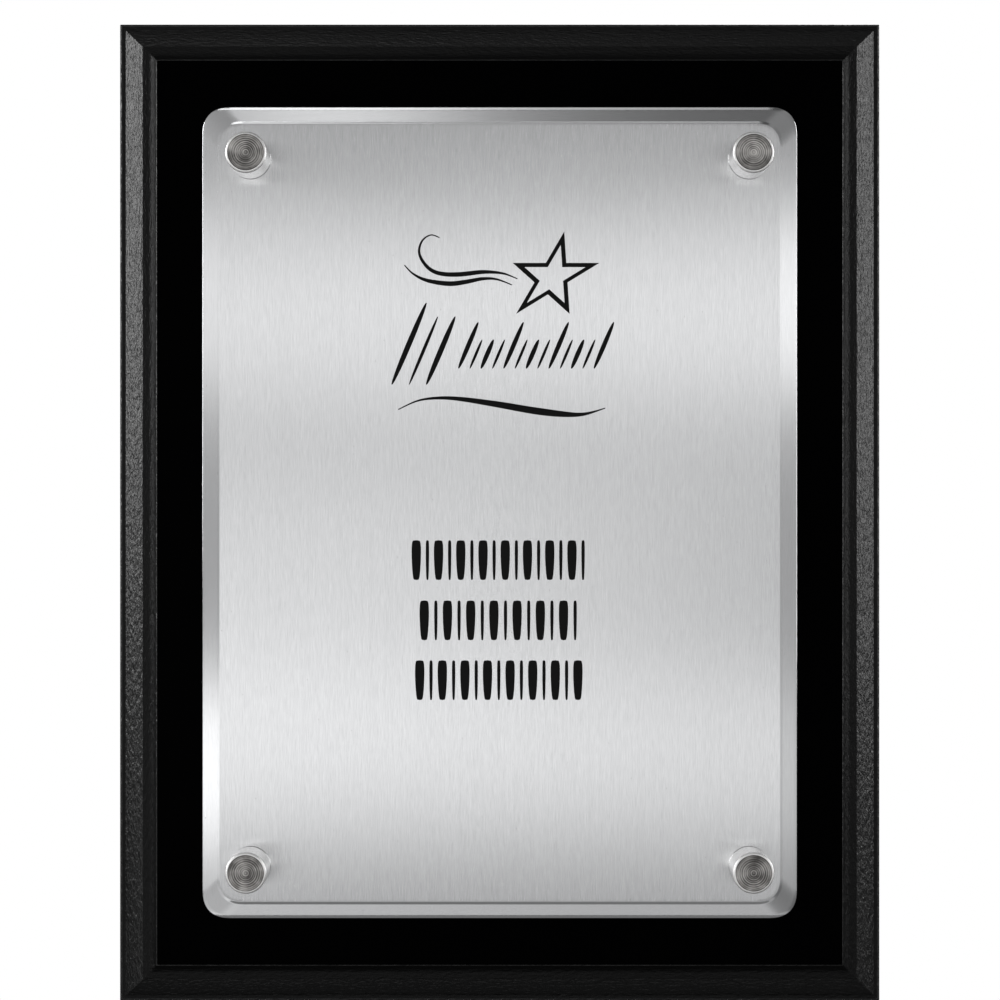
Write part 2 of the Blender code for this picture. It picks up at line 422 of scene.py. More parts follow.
def slot_cutter(name, width, travel, front_y, back_y, foot_z, material):
    """A round hole along Y with its centre at foot_z, drawn out upwards by the travel."""
    bm = bmesh.new()
    turn = Matrix.Rotation(math.radians(90), 4, "X")
    half_side = Matrix.Rotation(math.pi / KEYHOLE_SIDES, 4, "Y")
    centre = Matrix.Translation((0, (front_y + back_y) / 2, foot_z))
    bmesh.ops.create_cone(
        bm,
        cap_ends=True,
        segments=KEYHOLE_SIDES,
        radius1=width / 2,
        radius2=width / 2,
        depth=back_y - front_y,
        matrix=centre @ half_side @ turn,
    )
    upper = [v for v in bm.verts if v.co.z > foot_z]
    bmesh.ops.translate(bm, verts=upper, vec=(0, 0, travel))
    return linked(name, mesh_from(bm, name, [material]))


def make_board():
    profile = eased(moulding_profile(), LACQUER_EASE)
    front_of_side = BOARD_THICKNESS - profile[-1].y
    behind = [(BACK_CHAMFER, 0.0), (0.0, BACK_CHAMFER)]
    levels = behind + [(inward, front_of_side + height) for inward, height in profile]
    bm = bmesh.new()
    rings = []
    for inward, depth in levels:
        width = BOARD_WIDTH - 2 * inward
        height = BOARD_HEIGHT - 2 * inward
        rings.append(rounded_ring(bm, width, height, MITRE_RADIUS, -depth, MITRE_STEPS))

    def lacquer(level):
        """Satin on the rim's round, the slope and the face's arris, which were sanded less."""
        inward = (levels[level][0] + levels[level + 1][0]) / 2
        if level < len(behind):
            return BACK
        on_land = RIM_ROUND < inward < SLOPE_START
        in_cove = LEDGE_START < inward < COVE_START + COVE_WIDTH
        return DULL if on_land or in_cove else SATIN

    loft(bm, rings, lacquer)
    front = min(bm.faces, key=lambda face: face.calc_center_median().y)
    front.material_index = FACE
    materials = [
        face_lacquer(),
        moulding_lacquer("satin_lacquer_moulding", 0.5, 0.24),
        back_lacquer(),
        moulding_lacquer("dull_lacquer_moulding", 0.17, 0.36),
    ]
    mesh = mesh_from(bm, "board_blank", materials)

    bare = cut_fibreboard()
    foot_z = BOARD_HEIGHT / 2 - KEYHOLE_BELOW_TOP - KEYHOLE_TRAVEL
    slots = (
        ("keyhole_entry", KEYHOLE_ENTRY, 0, CUTTER_OVERSHOOT),
        ("keyhole_neck", KEYHOLE_NECK, KEYHOLE_TRAVEL, CUTTER_OVERSHOOT),
        ("keyhole_undercut", KEYHOLE_ENTRY, KEYHOLE_TRAVEL, -KEYHOLE_LIP),
    )
    cutters = [
        slot_cutter(name, width, travel, -KEYHOLE_DEPTH, back_y, foot_z, bare)
        for name, width, travel, back_y in slots
    ]
    return shaded("moulded_board", carved("moulded_board", mesh, cutters))


board = make_board()
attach(board, "root")
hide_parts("board")


# Plate. Aluminium, brushed up and down, with a step and a wide bevel milled round its field and
# polished after the brushing. The star, strokes and swooshes are engraved and filled with black.
plate_low, plate_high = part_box("plate")
PLATE_WIDTH = plate_high.x - plate_low.x
PLATE_HEIGHT = plate_high.z - plate_low.z
PLATE_BACK_Y = plate_high.y
PLATE_FRONT_Y = plate_low.y
PLATE_CORNER_RADIUS = 6.5 * MM
FIELD_CORNER_RADIUS = 5.4 * MM
CORNER_FULLNESS = 2.5
CORNER_STEPS = 24
ARRIS_WIDTH = 0.7 * MM
ARRIS_RISE = 0.30 * MM
BEVEL_WIDTH = 2.7 * MM
BEVEL_RISE = 0.9 * MM
STEP_WIDTH = 0.6 * MM
STEP_RISE = 0.29 * MM
METAL_EASE = 0.13 * MM
BACK_ARRIS = 0.2 * MM
STANDOFF_INSET_X = 11.0 * MM
STANDOFF_INSET_Z = 11.9 * MM
STANDOFF_X = PLATE_WIDTH / 2 - STANDOFF_INSET_X
STANDOFF_Z = PLATE_HEIGHT / 2 - STANDOFF_INSET_Z
HOLE_RADIUS = 2.9 * MM
HOLE_SIDES = 48
SPECK_SPACING = 3.1 * MM
SPECK_REACH = 0.035
ENGRAVED_DEPTH = 0.14 * MM
STROKE_SIDES = 28
SWOOSH_STEPS = 72
SWELL_POWER = 1.4
STAR_WELD = 0.001 * MM
STAR_PLACE = (11.9 * MM, 53.2 * MM)
STAR_RADIUS = 10.3 * MM
STAR_WAIST = 0.382
STAR_LINE = 0.95 * MM
STAR_LEAN = 0.26
SILVER_DARK = (0.62, 0.625, 0.635, 1)
SILVER_LIGHT = (0.80, 0.805, 0.815, 1)
SPECK_GREY = (0.30, 0.30, 0.30, 1)
FILL_BLACK = (0.004, 0.004, 0.004, 1)


def brushed_silver(name, roughness, anisotropy, streak):
    """Aluminium with fine upright scratches, which streak makes stronger."""
    material, graph = new_finish(name)
    x, y, z = object_place(graph)
    scratches = graph.noise((x, y, z), (0.13 * MM, 0.13 * MM, 3.2 * MM), 3.0, 0.6)
    hairs = graph.noise((x, y, z), (0.06 * MM, 0.06 * MM, 1.6 * MM), 1.0)
    sweeps = graph.noise((x, y, z), (1.1 * MM, 1.1 * MM, 60 * MM))
    tone = 0.5 + streak * (1.5 * (scratches - 0.5) + 0.2 * (sweeps - 0.5))
    cell = graph.node(
        "ShaderNodeTexVoronoi",
        {"feature": "F1"},
        {"Vector": graph.vector(x / SPECK_SPACING, 0.0, z / SPECK_SPACING), "Scale": 1.0},
        "Distance",
    )
    speck = cell < SPECK_REACH
    metal = graph.blend(tone, SILVER_DARK, SILVER_LIGHT)
    finish_with(graph, {
        "Base Color": graph.blend(speck * 0.6, metal, SPECK_GREY),
        "Metallic": 1.0,
        "Roughness": roughness + 0.10 * streak * (hairs - 0.5),
        "Anisotropic": anisotropy,
        "Normal": bumped(graph, scratches + 0.5 * hairs, 0.003 * MM),
    })
    return material


def black_fill():
    """Paint wiped into the engraving, a little sunk and slightly glossy."""
    material, graph = new_finish("black_fill")
    x, y, z = object_place(graph)
    dimple = graph.noise((x, y, z), 0.5 * MM)
    finish_with(graph, {
        "Base Color": FILL_BLACK,
        "Roughness": 0.42 + 0.15 * dimple,
        "Specular IOR Level": 0.12,
        "Normal": bumped(graph, dimple, 0.02 * MM),
    })
    return material


def new_tree(name, inputs):
    """A geometry node tree with these named inputs, and wires for its geometry and each input."""
    tree = bpy.data.node_groups.new(name, "GeometryNodeTree")
    face = tree.interface
    face.new_socket("Geometry", in_out="INPUT", socket_type="NodeSocketGeometry")
    face.new_socket("Geometry", in_out="OUTPUT", socket_type="NodeSocketGeometry")
    for label, (kind, value) in inputs.items():
        socket = face.new_socket(label, in_out="INPUT", socket_type="NodeSocket" + kind)
        socket.default_value = value
    graph = Graph(tree)
    start = graph.node("NodeGroupInput")
    return graph, {label: start.also(label) for label in ("Geometry", *inputs)}


def close_tree(graph, solid, material):
    """Ends a tree: real geometry, with its material."""
    real = graph.node("GeometryNodeRealizeInstances", sockets={"Geometry": solid})
    dressed = graph.node("GeometryNodeSetMaterial", sockets={"Geometry": real, "Material": material})
    graph.node("NodeGroupOutput", sockets={"Geometry": dressed})


def grown(name, graph, values, source):
    """The plain mesh that a tree makes of a source mesh and these input values."""
    maker = linked(name, source)
    modifier = maker.modifiers.new(name, "NODES")
    modifier.node_group = graph.tree
    for item in graph.tree.interface.items_tree:
        if item.in_out == "INPUT" and item.name in values:
            modifier[item.identifier] = values[item.name]
    made = bpy.data.meshes.new_from_object(maker.evaluated_get(bpy.context.evaluated_depsgraph_get()))
    bpy.data.objects.remove(maker)
    bm = bmesh.new()
    bm.from_mesh(made)
    bmesh.ops.recalc_face_normals(bm, faces=bm.faces)
    bm.to_mesh(made)
    bm.free()
    return made


def onto_plate(graph, drawing, place):
    """Stands a drawing in X and Y up on the plate's front, so that its Z comes out of the plate."""
    values = {"Geometry": drawing, "Translation": place, "Rotation": (math.radians(90), 0, 0)}
    return graph.node("GeometryNodeTransform", sockets=values)


def stroke_row_tree(material):
    """A row of upright or slanted strokes: even ones thick, odd ones thin, and every nth one tall."""
    graph, given = new_tree("stroke_row", {
        "Count": ("Int", 8),
        "Pitch": ("Float", 2.5 * MM),
        "Height": ("Float", 9 * MM),
        "Width": ("Float", 2 * MM),
        "Thin Share": ("Float", 0.4),
        "Tall Every": ("Float", 100.0),
        "Tall Share": ("Float", 1.0),
        "Fullness": ("Float", 1.0),
        "Taper": ("Float", 0.0),
        "Slant": ("Float", 0.0),
        "Depth": ("Float", ENGRAVED_DEPTH),
        "Place": ("Vector", (0, 0, 0)),
    })
    half_row = given["Pitch"] * (given["Count"] - 1) / 2
    points = graph.node("GeometryNodeMeshLine", sockets={
        "Count": given["Count"],
        "Start Location": graph.vector(0 - half_row, 0.0, 0.0),
        "Offset": graph.vector(given["Pitch"], 0.0, 0.0),
    })
    blank = graph.node("GeometryNodeMeshCylinder", sockets={
        "Vertices": STROKE_SIDES, "Radius": 1.0, "Depth": 2.0,
    })
    at = graph.node("GeometryNodeInputPosition")
    x = graph.node("ShaderNodeSeparateXYZ", sockets={"Vector": at}, output="X")
    y, z = x.also("Y"), x.also("Z")
    side = graph.maths("SIGN", x)
    flank = side * (abs(x) ** given["Fullness"]) * (1 + given["Taper"] * y)
    stroke = graph.node("GeometryNodeSetPosition", sockets={
        "Geometry": blank, "Position": graph.vector(flank * 0.5, y * 0.5, z),
    })
    index = graph.node("GeometryNodeInputIndex")
    thin = (index % 2) > 0.5
    tall = (index % given["Tall Every"]) < 0.5
    width = given["Width"] * (1 - thin * (1 - given["Thin Share"]))
    height = given["Height"] * (1 + tall * (given["Tall Share"] - 1))
    lift = (height - given["Height"]) / 2
    raised = graph.node("GeometryNodeSetPosition", sockets={
        "Geometry": points, "Offset": graph.vector(0.0, lift, 0.0),
    })
    row = graph.node("GeometryNodeInstanceOnPoints", sockets={
        "Points": raised,
        "Instance": stroke,
        "Scale": graph.vector(width, height, given["Depth"]),
    })
    real = graph.node("GeometryNodeRealizeInstances", sockets={"Geometry": row})
    leaning = graph.node("GeometryNodeSetPosition", sockets={
        "Geometry": real, "Offset": graph.vector(y * given["Slant"], 0.0, 0.0),
    })
    close_tree(graph, onto_plate(graph, leaning, given["Place"]), material)
    return graph


def swoosh_tree(material):
    """A line that swells along its way, engraved deepest where it is widest."""
    graph, given = new_tree("swoosh", {
        "Greatest Width": ("Float", 1 * MM),
        "Least Width": ("Float", 0.24 * MM),
        "Swell At": ("Float", 0.5),
        "Depth Share": ("Float", 0.35),
        "Place": ("Vector", (0, 0, 0)),
    })
    line = graph.node("GeometryNodeMeshToCurve", sockets={"Mesh": given["Geometry"]})
    smooth = graph.node(
        "GeometryNodeCurveSplineType", {"spline_type": "CATMULL_ROM"}, {"Curve": line}
    )
    fine = graph.node("GeometryNodeResampleCurve", sockets={"Curve": smooth, "Count": SWOOSH_STEPS})
    along = graph.node("GeometryNodeSplineParameter")
    before = along / given["Swell At"]
    after = (1 - along) / (1 - given["Swell At"])
    swell = graph.maths("MINIMUM", before, after)
    round_swell = graph.maths("SINE", swell * (math.pi / 2))
    gain = given["Greatest Width"] - given["Least Width"]
    width = given["Least Width"] + gain * round_swell ** SWELL_POWER
    upright = graph.node("GeometryNodeSetCurveNormal", {"mode": "Z_UP"}, {"Curve": fine})
    nib = graph.node("GeometryNodeCurvePrimitiveQuadrilateral", sockets={
        "Width": 1.0, "Height": given["Depth Share"],
    })
    swept = graph.node("GeometryNodeCurveToMesh", sockets={
        "Curve": upright, "Profile Curve": nib, "Scale": width, "Fill Caps": True,
    })
    close_tree(graph, onto_plate(graph, swept, given["Place"]), material)
    return graph


def star_tree(material):
    """The outline of a five-point star, drawn as one line of even width and leant to the right."""
    graph, given = new_tree("star_outline", {
        "Radius": ("Float", STAR_RADIUS),
        "Waist": ("Float", STAR_WAIST),
        "Line": ("Float", STAR_LINE),
        "Lean": ("Float", STAR_LEAN),
        "Depth": ("Float", ENGRAVED_DEPTH),
        "Place": ("Vector", (0, 0, 0)),
    })
    apothem = given["Radius"] * math.cos(math.radians(72))
    inner_radius = given["Radius"] * (1 - given["Line"] / apothem)
    outlines = []
    for radius in (given["Radius"], inner_radius):
        outlines.append(graph.node("GeometryNodeCurveStar", sockets={
            "Points": 5, "Inner Radius": radius * given["Waist"], "Outer Radius": radius,
        }))
    both = graph.node("GeometryNodeJoinGeometry")
    for outline in outlines:
        graph.tree.links.new(outline.socket, both.socket.node.inputs["Geometry"])
    flat = graph.node("GeometryNodeFillCurve", sockets={"Curve": both})
    sunk = graph.node("GeometryNodeTransform", sockets={
        "Geometry": flat,
        "Translation": graph.vector(0.0, 0.0, 0 - given["Depth"]),
        "Rotation": (0, 0, math.radians(90)),
    })
    walls = graph.node("GeometryNodeExtrudeMesh", {"mode": "FACES"}, {
        "Mesh": sunk,
        "Offset": (0, 0, 1),
        "Offset Scale": given["Depth"] * 2,
        "Individual": False,
    })
    floor_faces = graph.node("GeometryNodeFlipFaces", sockets={"Mesh": sunk})
    shell = graph.node("GeometryNodeJoinGeometry")
    for part in (walls, floor_faces):
        graph.tree.links.new(part.socket, shell.socket.node.inputs["Geometry"])
    closed = graph.node("GeometryNodeMergeByDistance", sockets={"Geometry": shell, "Distance": STAR_WELD})
    at = graph.node("GeometryNodeInputPosition")
    y = graph.node("ShaderNodeSeparateXYZ", sockets={"Vector": at}, output="Y")
    leaning = graph.node("GeometryNodeSetPosition", sockets={
        "Geometry": closed, "Offset": graph.vector(y * given["Lean"], 0.0, 0.0),
    })
    close_tree(graph, onto_plate(graph, leaning, given["Place"]), material)
    return graph


def on_field(x, z):
    return (x, PLATE_FRONT_Y, z)


def line_mesh(name, points):
    mesh = bpy.data.meshes.new(name)
    edges = [(i, i + 1) for i in range(len(points) - 1)]
    mesh.from_pydata([(x, z, 0) for x, z in points], edges, [])
    return mesh


def engraving_cutters(material):
    """Every engraved stroke as a closed solid through the plate's front."""
    cutters = []
    rows = stroke_row_tree(material)
    script = {"Width": 1.15 * MM, "Fullness": 0.9, "Slant": 0.42, "Thin Share": 0.62}
    bold = {"Width": 2.05 * MM, "Height": 9 * MM, "Fullness": 0.3, "Thin Share": 0.36, "Taper": 0.16}
    for name, changes in {
        "opening_strokes": script | {
            "Count": 3, "Pitch": 3.9 * MM, "Height": 15.5 * MM, "Width": 1.35 * MM,
            "Tall Every": 3.0, "Tall Share": 1.2, "Place": on_field(-17.2 * MM, 36.6 * MM),
        },
        "slanted_row": script | {
            "Count": 13, "Pitch": 2.55 * MM, "Height": 6.6 * MM,
            "Tall Every": 4.0, "Tall Share": 1.6, "Place": on_field(7.4 * MM, 35.8 * MM),
        },
        "bold_row_1": bold | {"Count": 16, "Pitch": 2.51 * MM, "Place": on_field(0, -10.7 * MM)},
        "bold_row_2": bold | {"Count": 14, "Pitch": 2.62 * MM, "Place": on_field(0, -24.3 * MM)},
        "bold_row_3": bold | {"Count": 15, "Pitch": 2.55 * MM, "Place": on_field(-0.2 * MM, -37.8 * MM)},
    }.items():
        empty = bpy.data.meshes.new(name)
        cutters.append(linked(name, grown(name, rows, changes, empty)))

    swooshes = swoosh_tree(material)
    curl = [(-13.6, 62.1), (-15.5, 62.7), (-17.4, 61.5), (-18.2, 59.1), (-17.4, 56.8), (-15.5, 54.8),
            (-12.9, 53.9), (-9.0, 53.8), (-4.4, 54.3), (-1.6, 54.3), (1.2, 53.9), (4.0, 52.8)]
    wave = [(-21.5, 55.9), (-19.5, 53.9), (-16.3, 52.4), (-11.4, 51.7), (-7.7, 52.1), (-3.9, 52.8),
            (-0.7, 52.7), (2.8, 51.4)]
    underline = [(-22.9, 23.3), (-18.4, 25.3), (-13.6, 25.9), (-8.3, 25.6), (-0.2, 24.4), (8.0, 23.0),
                 (15.0, 22.2), (19.3, 22.3), (23.8, 23.6)]
    for name, points, greatest, swell_at in (
        ("curl", curl, 1.05, 0.62),
        ("wave", wave, 1.10, 0.45),
        ("underline", underline, 1.60, 0.68),
    ):
        source = line_mesh(name, [(x * MM, z * MM) for x, z in points])
        values = {"Greatest Width": greatest * MM, "Swell At": swell_at, "Place": on_field(0, 0)}
        cutters.append(linked(name, grown(name, swooshes, values, source)))

    star = star_tree(material)
    source = bpy.data.meshes.new("star")
    cutters.append(linked("star", grown("star", star, {"Place": on_field(*STAR_PLACE)}, source)))
    return cutters


def standoff_places():
    """Name and centre of each standoff, seen from the front."""
    for level, z in (("top", STANDOFF_Z), ("bottom", -STANDOFF_Z)):
        for side, x in (("left", -STANDOFF_X), ("right", STANDOFF_X)):
            yield f"{level}_{side}", x, z


def hole_cutter(name, x, z, material):
    bm = bmesh.new()
    middle_y = (PLATE_BACK_Y + PLATE_FRONT_Y) / 2
    bmesh.ops.create_cone(
        bm,
        cap_ends=True,
        segments=HOLE_SIDES,
        radius1=HOLE_RADIUS,
        radius2=HOLE_RADIUS,
        depth=PLATE_BACK_Y - PLATE_FRONT_Y + 2 * CUTTER_OVERSHOOT,
        matrix=Matrix.Translation((x, middle_y, z)) @ Matrix.Rotation(math.radians(90), 4, "X"),
    )
    return linked(name, mesh_from(bm, name, [material]))


def make_plate():
    """Lofted through rings, because the field's corners aren't an even inset of the plate's."""
    step_start = ARRIS_WIDTH + BEVEL_WIDTH
    field_start = step_start + STEP_WIDTH
    step_y = PLATE_FRONT_Y + STEP_RISE
    bevel_y = step_y + BEVEL_RISE
    arris_y = bevel_y + ARRIS_RISE
    sections = (
        (BACK_ARRIS, PLATE_CORNER_RADIUS - BACK_ARRIS, PLATE_BACK_Y),
        (0.0, PLATE_CORNER_RADIUS, PLATE_BACK_Y - BACK_ARRIS),
        (0.0, PLATE_CORNER_RADIUS, arris_y),
        (ARRIS_WIDTH, PLATE_CORNER_RADIUS - ARRIS_WIDTH / 2, bevel_y),
        (step_start, FIELD_CORNER_RADIUS + STEP_WIDTH, step_y),
        (field_start, FIELD_CORNER_RADIUS, PLATE_FRONT_Y),
        (field_start + STEP_WIDTH, FIELD_CORNER_RADIUS - STEP_WIDTH, PLATE_FRONT_Y),
    )
    levels = eased(sections, METAL_EASE)
    bm = bmesh.new()
    rings = []
    for inset, radius, y in levels:
        width = PLATE_WIDTH - 2 * inset
        height = PLATE_HEIGHT - 2 * inset
        rings.append(rounded_ring(bm, width, height, radius, y, CORNER_STEPS, CORNER_FULLNESS))

    def polish(level):
        """On everything between the straight sides and the field."""
        section = levels[level]
        return int(0 < section.x < field_start and section.z < PLATE_BACK_Y - BACK_ARRIS)

    loft(bm, rings, polish)
    field = brushed_silver("brushed_silver_field", 0.25, 0.9, 1.0)
    bevel = brushed_silver("polished_silver_bevel", 0.15, 0.5, 0.5)
    mesh = mesh_from(bm, "plate_blank", [field, bevel])
    cutters = engraving_cutters(black_fill())
    cutters += [hole_cutter("hole_" + corner, x, z, field) for corner, x, z in standoff_places()]
    return shaded("engraved_plate", carved("engraved_plate", mesh, cutters))


plate = make_plate()
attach(plate, "root")
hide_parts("plate")


# Standoffs. Turned steel: a barrel stands on the board, and a cap's stud goes through the plate's hole
# into the barrel's bore. The cap's face keeps the rings of the facing cut, and its edges are polished.
BARREL_DIAMETER = 9.2 * MM
BARREL_LENGTH = 9.5 * MM
BARREL_CHAMFER = 0.4 * MM
CAP_DIAMETER = 9.2 * MM
CAP_HEIGHT = 9.5 * MM
CAP_FOOT_CHAMFER = 0.2 * MM
CONTACT_GAP = 0.3 * MM
STUD_DIAMETER = 5.0 * MM
STUD_ENGAGEMENT = 5.0 * MM
STUD_LENGTH = STUD_ENGAGEMENT + (PLATE_BACK_Y - PLATE_FRONT_Y) + 2 * CONTACT_GAP
BORE_SPARE_DEPTH = 1.0 * MM
RING_PITCH = 0.45 * MM
RING_DEPTH = 0.030 * MM
RINGS_PER_BEAT = 2.7
FACE_DISH = 0.08 * MM
CAP_ROUND = 0.55 * MM
RING_SAMPLES = 8
EDGE_STEPS = 10
TURNED_EASE = 0.06 * MM
TURNED_STEPS = 96
TURNED_WELD = 0.002 * MM
BURNISHED_SHARE = 0.8
STEEL_DARK = (0.085, 0.082, 0.079, 1)
STEEL_LIGHT = (0.67, 0.65, 0.63, 1)
SIDE_DARK = (0.80, 0.79, 0.78, 1)
SIDE_LIGHT = (0.96, 0.955, 0.95, 1)
RIM_WHITE = (1.0, 0.995, 0.99, 1)


def from_axis(graph, x, z):
    """Distance from the nearest standoff's axis. All four are met at once by folding X and Z."""
    aside = abs(x) - STANDOFF_X
    above = abs(z) - STANDOFF_Z
    return (aside * aside + above * above) ** 0.5


def turned_face():
    """Dull turned steel, with uneven rings. Its tones by distance from the axis are a painted reflection
    and painted shade.
    """
    material, graph = new_finish("turned_steel_face")
    x, y, z = object_place(graph)
    radius = from_axis(graph, x, z)
    rings = graph.noise((radius, 0.0, 0.0), 0.40 * MM, 3.0, 0.7)
    drag = graph.noise((x, z, radius), (0.5 * MM, 0.5 * MM, 0.1 * MM))
    # Painted reflection and shade by distance from the axis: a dark ring about a third of the way out, a
    # lighter one half way out, and darker towards the rounded edge.
    band = graph.node(
        "ShaderNodeValToRGB",
        {"stops": [(0.0, 0.30), (0.22, 0.27), (0.30, 0.25), (0.40, 0.32), (0.5, 0.40), (1.0, 0.2)]},
        {"Fac": radius / (CAP_DIAMETER / 2)},
    )
    cut = graph.maths("SINE", radius * (2 * math.pi / RING_PITCH))
    patches = graph.noise((x, y, z), 3.4 * MM)
    tone = band + cut * drag * 0.4 + 2.2 * (rings - 0.5) + 1.6 * (patches - 0.5)
    finish_with(graph, {
        "Base Color": graph.blend(tone, STEEL_DARK, STEEL_LIGHT),
        "Metallic": 1.0,
        "Roughness": 0.26 + 0.14 * rings,
        "Normal": bumped(graph, rings, 0.008 * MM),
    })
    return material


def turned_side():
    """Bright turned steel, with fine rings round the axis."""
    material, graph = new_finish("turned_steel_side")
    x, y, z = object_place(graph)
    rings = graph.noise((x, y, z), (9 * MM, 0.09 * MM, 9 * MM), 2.0, 0.6)
    smears = graph.noise((x, y, z), (1.2 * MM, 4 * MM, 1.2 * MM))
    finish_with(graph, {
        "Base Color": graph.blend(0.6 * rings + 0.4 * smears, SIDE_DARK, SIDE_LIGHT),
        "Metallic": 1.0,
        "Roughness": 0.12 + 0.10 * smears,
        "Normal": bumped(graph, rings, 0.003 * MM),
    })
    return material


def burnished_rim():
    """The cap's rounded rim, burnished to a soft white shine."""
    material, graph = new_finish("burnished_steel_rim")
    x, y, z = object_place(graph)
    wear = graph.noise((x, y, z), 0.8 * MM)
    finish_with(graph, {
        "Base Color": graph.blend(wear, SIDE_LIGHT, RIM_WHITE),
        "Metallic": 1.0,
        "Roughness": 0.46 + 0.12 * wear,
        "Normal": bumped(graph, wear, 0.01 * MM),
    })
    return material


def lathe_tree(side_material, rim_material, face_material):
    """Turns a line of (radius, height) points, drawn in X and Y, round an axis that points forwards."""
    graph, given = new_tree("lathe", {
        "Steps": ("Int", TURNED_STEPS),
        "Rim Height": ("Float", 1.0),
        "Face Radius": ("Float", 0.0),
        "Place": ("Vector", (0, 0, 0)),
    })
    profile = graph.node("GeometryNodeMeshToCurve", sockets={"Mesh": given["Geometry"]})
    round_way = graph.node("GeometryNodeCurvePrimitiveCircle", sockets={
        "Resolution": given["Steps"], "Radius": CAP_DIAMETER,
    })
    swept = graph.node("GeometryNodeCurveToMesh", sockets={
        "Curve": round_way, "Profile Curve": profile,
    })
    closed = graph.node("GeometryNodeMergeByDistance", sockets={
        "Geometry": swept, "Distance": TURNED_WELD,
    })
    at = graph.node("GeometryNodeInputPosition")
    x = graph.node("ShaderNodeSeparateXYZ", sockets={"Vector": at}, output="X")
    y = x.also("Y")
    on_rim = x.also("Z") > given["Rim Height"]
    on_face = on_rim * ((x * x + y * y) ** 0.5 < given["Face Radius"])
    dressed = graph.node("GeometryNodeSetMaterial", sockets={
        "Geometry": closed, "Material": side_material,
    })
    for chosen, material in ((on_rim, rim_material), (on_face, face_material)):
        dressed = graph.node("GeometryNodeSetMaterial", sockets={
            "Geometry": dressed, "Selection": chosen, "Material": material,
        })
    stood = onto_plate(graph, dressed, given["Place"])
    real = graph.node("GeometryNodeRealizeInstances", sockets={"Geometry": stood})
    graph.node("NodeGroupOutput", sockets={"Geometry": real})
    return graph


def barrel_profile():
    """From the bottom of the blind bore, over the front end and down the outside to the base."""
    radius = BARREL_DIAMETER / 2
    bore_bottom = BARREL_LENGTH - STUD_ENGAGEMENT - BORE_SPARE_DEPTH
    return eased([
        (0, bore_bottom),
        (HOLE_RADIUS, bore_bottom),
        (HOLE_RADIUS, BARREL_LENGTH),
        (radius - BARREL_CHAMFER, BARREL_LENGTH),
        (radius, BARREL_LENGTH - BARREL_CHAMFER),
        (radius, BARREL_CHAMFER),
        (radius - BARREL_CHAMFER, 0),
        (0, 0),
    ], TURNED_EASE)


def cap_profile():
    """From the middle of the ringed face down the outside, in under the head and down the stud.

    The rings' depth swells and fades again every few rings, and the face is slightly dished.
    """
    radius = CAP_DIAMETER / 2
    ringed = radius - CAP_ROUND
    count = round(ringed / RING_PITCH * RING_SAMPLES)
    face = []
    for i in range(count):
        r = ringed * i / count
        turn = 2 * math.pi * r / RING_PITCH
        cut = RING_DEPTH * (0.5 + 0.3 * math.cos(turn) + 0.2 * math.cos(turn / RINGS_PER_BEAT))
        dish = FACE_DISH * (1 - (r / ringed) ** 2)
        face.append((r, CAP_HEIGHT - cut - dish))
    edge = [(ringed, CAP_HEIGHT)]
    for a in quarter_turn(EDGE_STEPS):
        edge.append((ringed + CAP_ROUND * math.sin(a), CAP_HEIGHT - CAP_ROUND * (1 - math.cos(a))))
    return [Vector(p) for p in face + edge[:-1]] + eased([
        edge[-1],
        (radius, CAP_FOOT_CHAMFER),
        (radius - CAP_FOOT_CHAMFER, 0),
        (STUD_DIAMETER / 2, 0),
        (STUD_DIAMETER / 2, -STUD_LENGTH),
        (0, -STUD_LENGTH),
    ], TURNED_EASE)


def make_standoffs():
    lathe = lathe_tree(turned_side(), burnished_rim(), turned_face())
    base_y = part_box("standoff_barrel_top_left")[1].y
    foot_y = PLATE_FRONT_Y - CONTACT_GAP
    cap_finish = {
        "Rim Height": CAP_HEIGHT - BURNISHED_SHARE * CAP_ROUND,
        "Face Radius": CAP_DIAMETER / 2 - CAP_ROUND,
    }
    for kind, profile, y, finish in (
        ("barrel", barrel_profile(), base_y, {}),
        ("cap", cap_profile(), foot_y, cap_finish),
    ):
        for corner, x, z in standoff_places():
            name = f"{kind}_{corner}"
            source = line_mesh(name, [(r - CAP_DIAMETER, -h) for r, h in profile])
            values = finish | {"Place": (x, y, z)}
            piece = shaded(f"turned_{name}", grown(name, lathe, values, source))
            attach(piece, "root")
            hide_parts(f"standoff_{name}")


make_standoffs()


# Studio. A pale round floor well below the plaque, which hangs free of any wall, and a white room.
# The floor is lit from inside for the camera only, so neither it nor the room lights the plaque much.
FLOOR_DROP = 0.9
FLOOR_RADIUS = 2.2
FLOOR_SIDES = 96
FLOOR_GLOW = 0.52
ROOM_LIGHT = 0.08


def make_floor():
    material, graph = new_finish("pale_floor")
    finish_with(graph, {
        "Base Color": (0.82, 0.82, 0.82, 1),
        "Roughness": 0.8,
        "Emission Color": (1, 1, 1, 1),
        "Emission Strength": FLOOR_GLOW,
    })
    bm = bmesh.new()
    place = Matrix.Translation((0, 0, cad_low.z - FLOOR_DROP))
    bmesh.ops.create_circle(
        bm, cap_ends=True, segments=FLOOR_SIDES, radius=FLOOR_RADIUS, matrix=place
    )
    floor = linked("floor", mesh_from(bm, "floor", [material]))
    floor.visible_glossy = False
    floor.visible_diffuse = False


def make_room():
    """White to the camera, and dim to everything else."""
    world = bpy.data.worlds.new("room")
    world.use_nodes = True
    world.node_tree.nodes.clear()
    graph = Graph(world.node_tree)
    seen = graph.node("ShaderNodeLightPath", output="Is Camera Ray")
    strength = ROOM_LIGHT + (1 - ROOM_LIGHT) * seen
    light = graph.node("ShaderNodeBackground", sockets={"Color": (1, 1, 1, 1), "Strength": strength})
    graph.node("ShaderNodeOutputWorld", sockets={"Surface": light})
    scene.world = world


make_floor()
make_room()


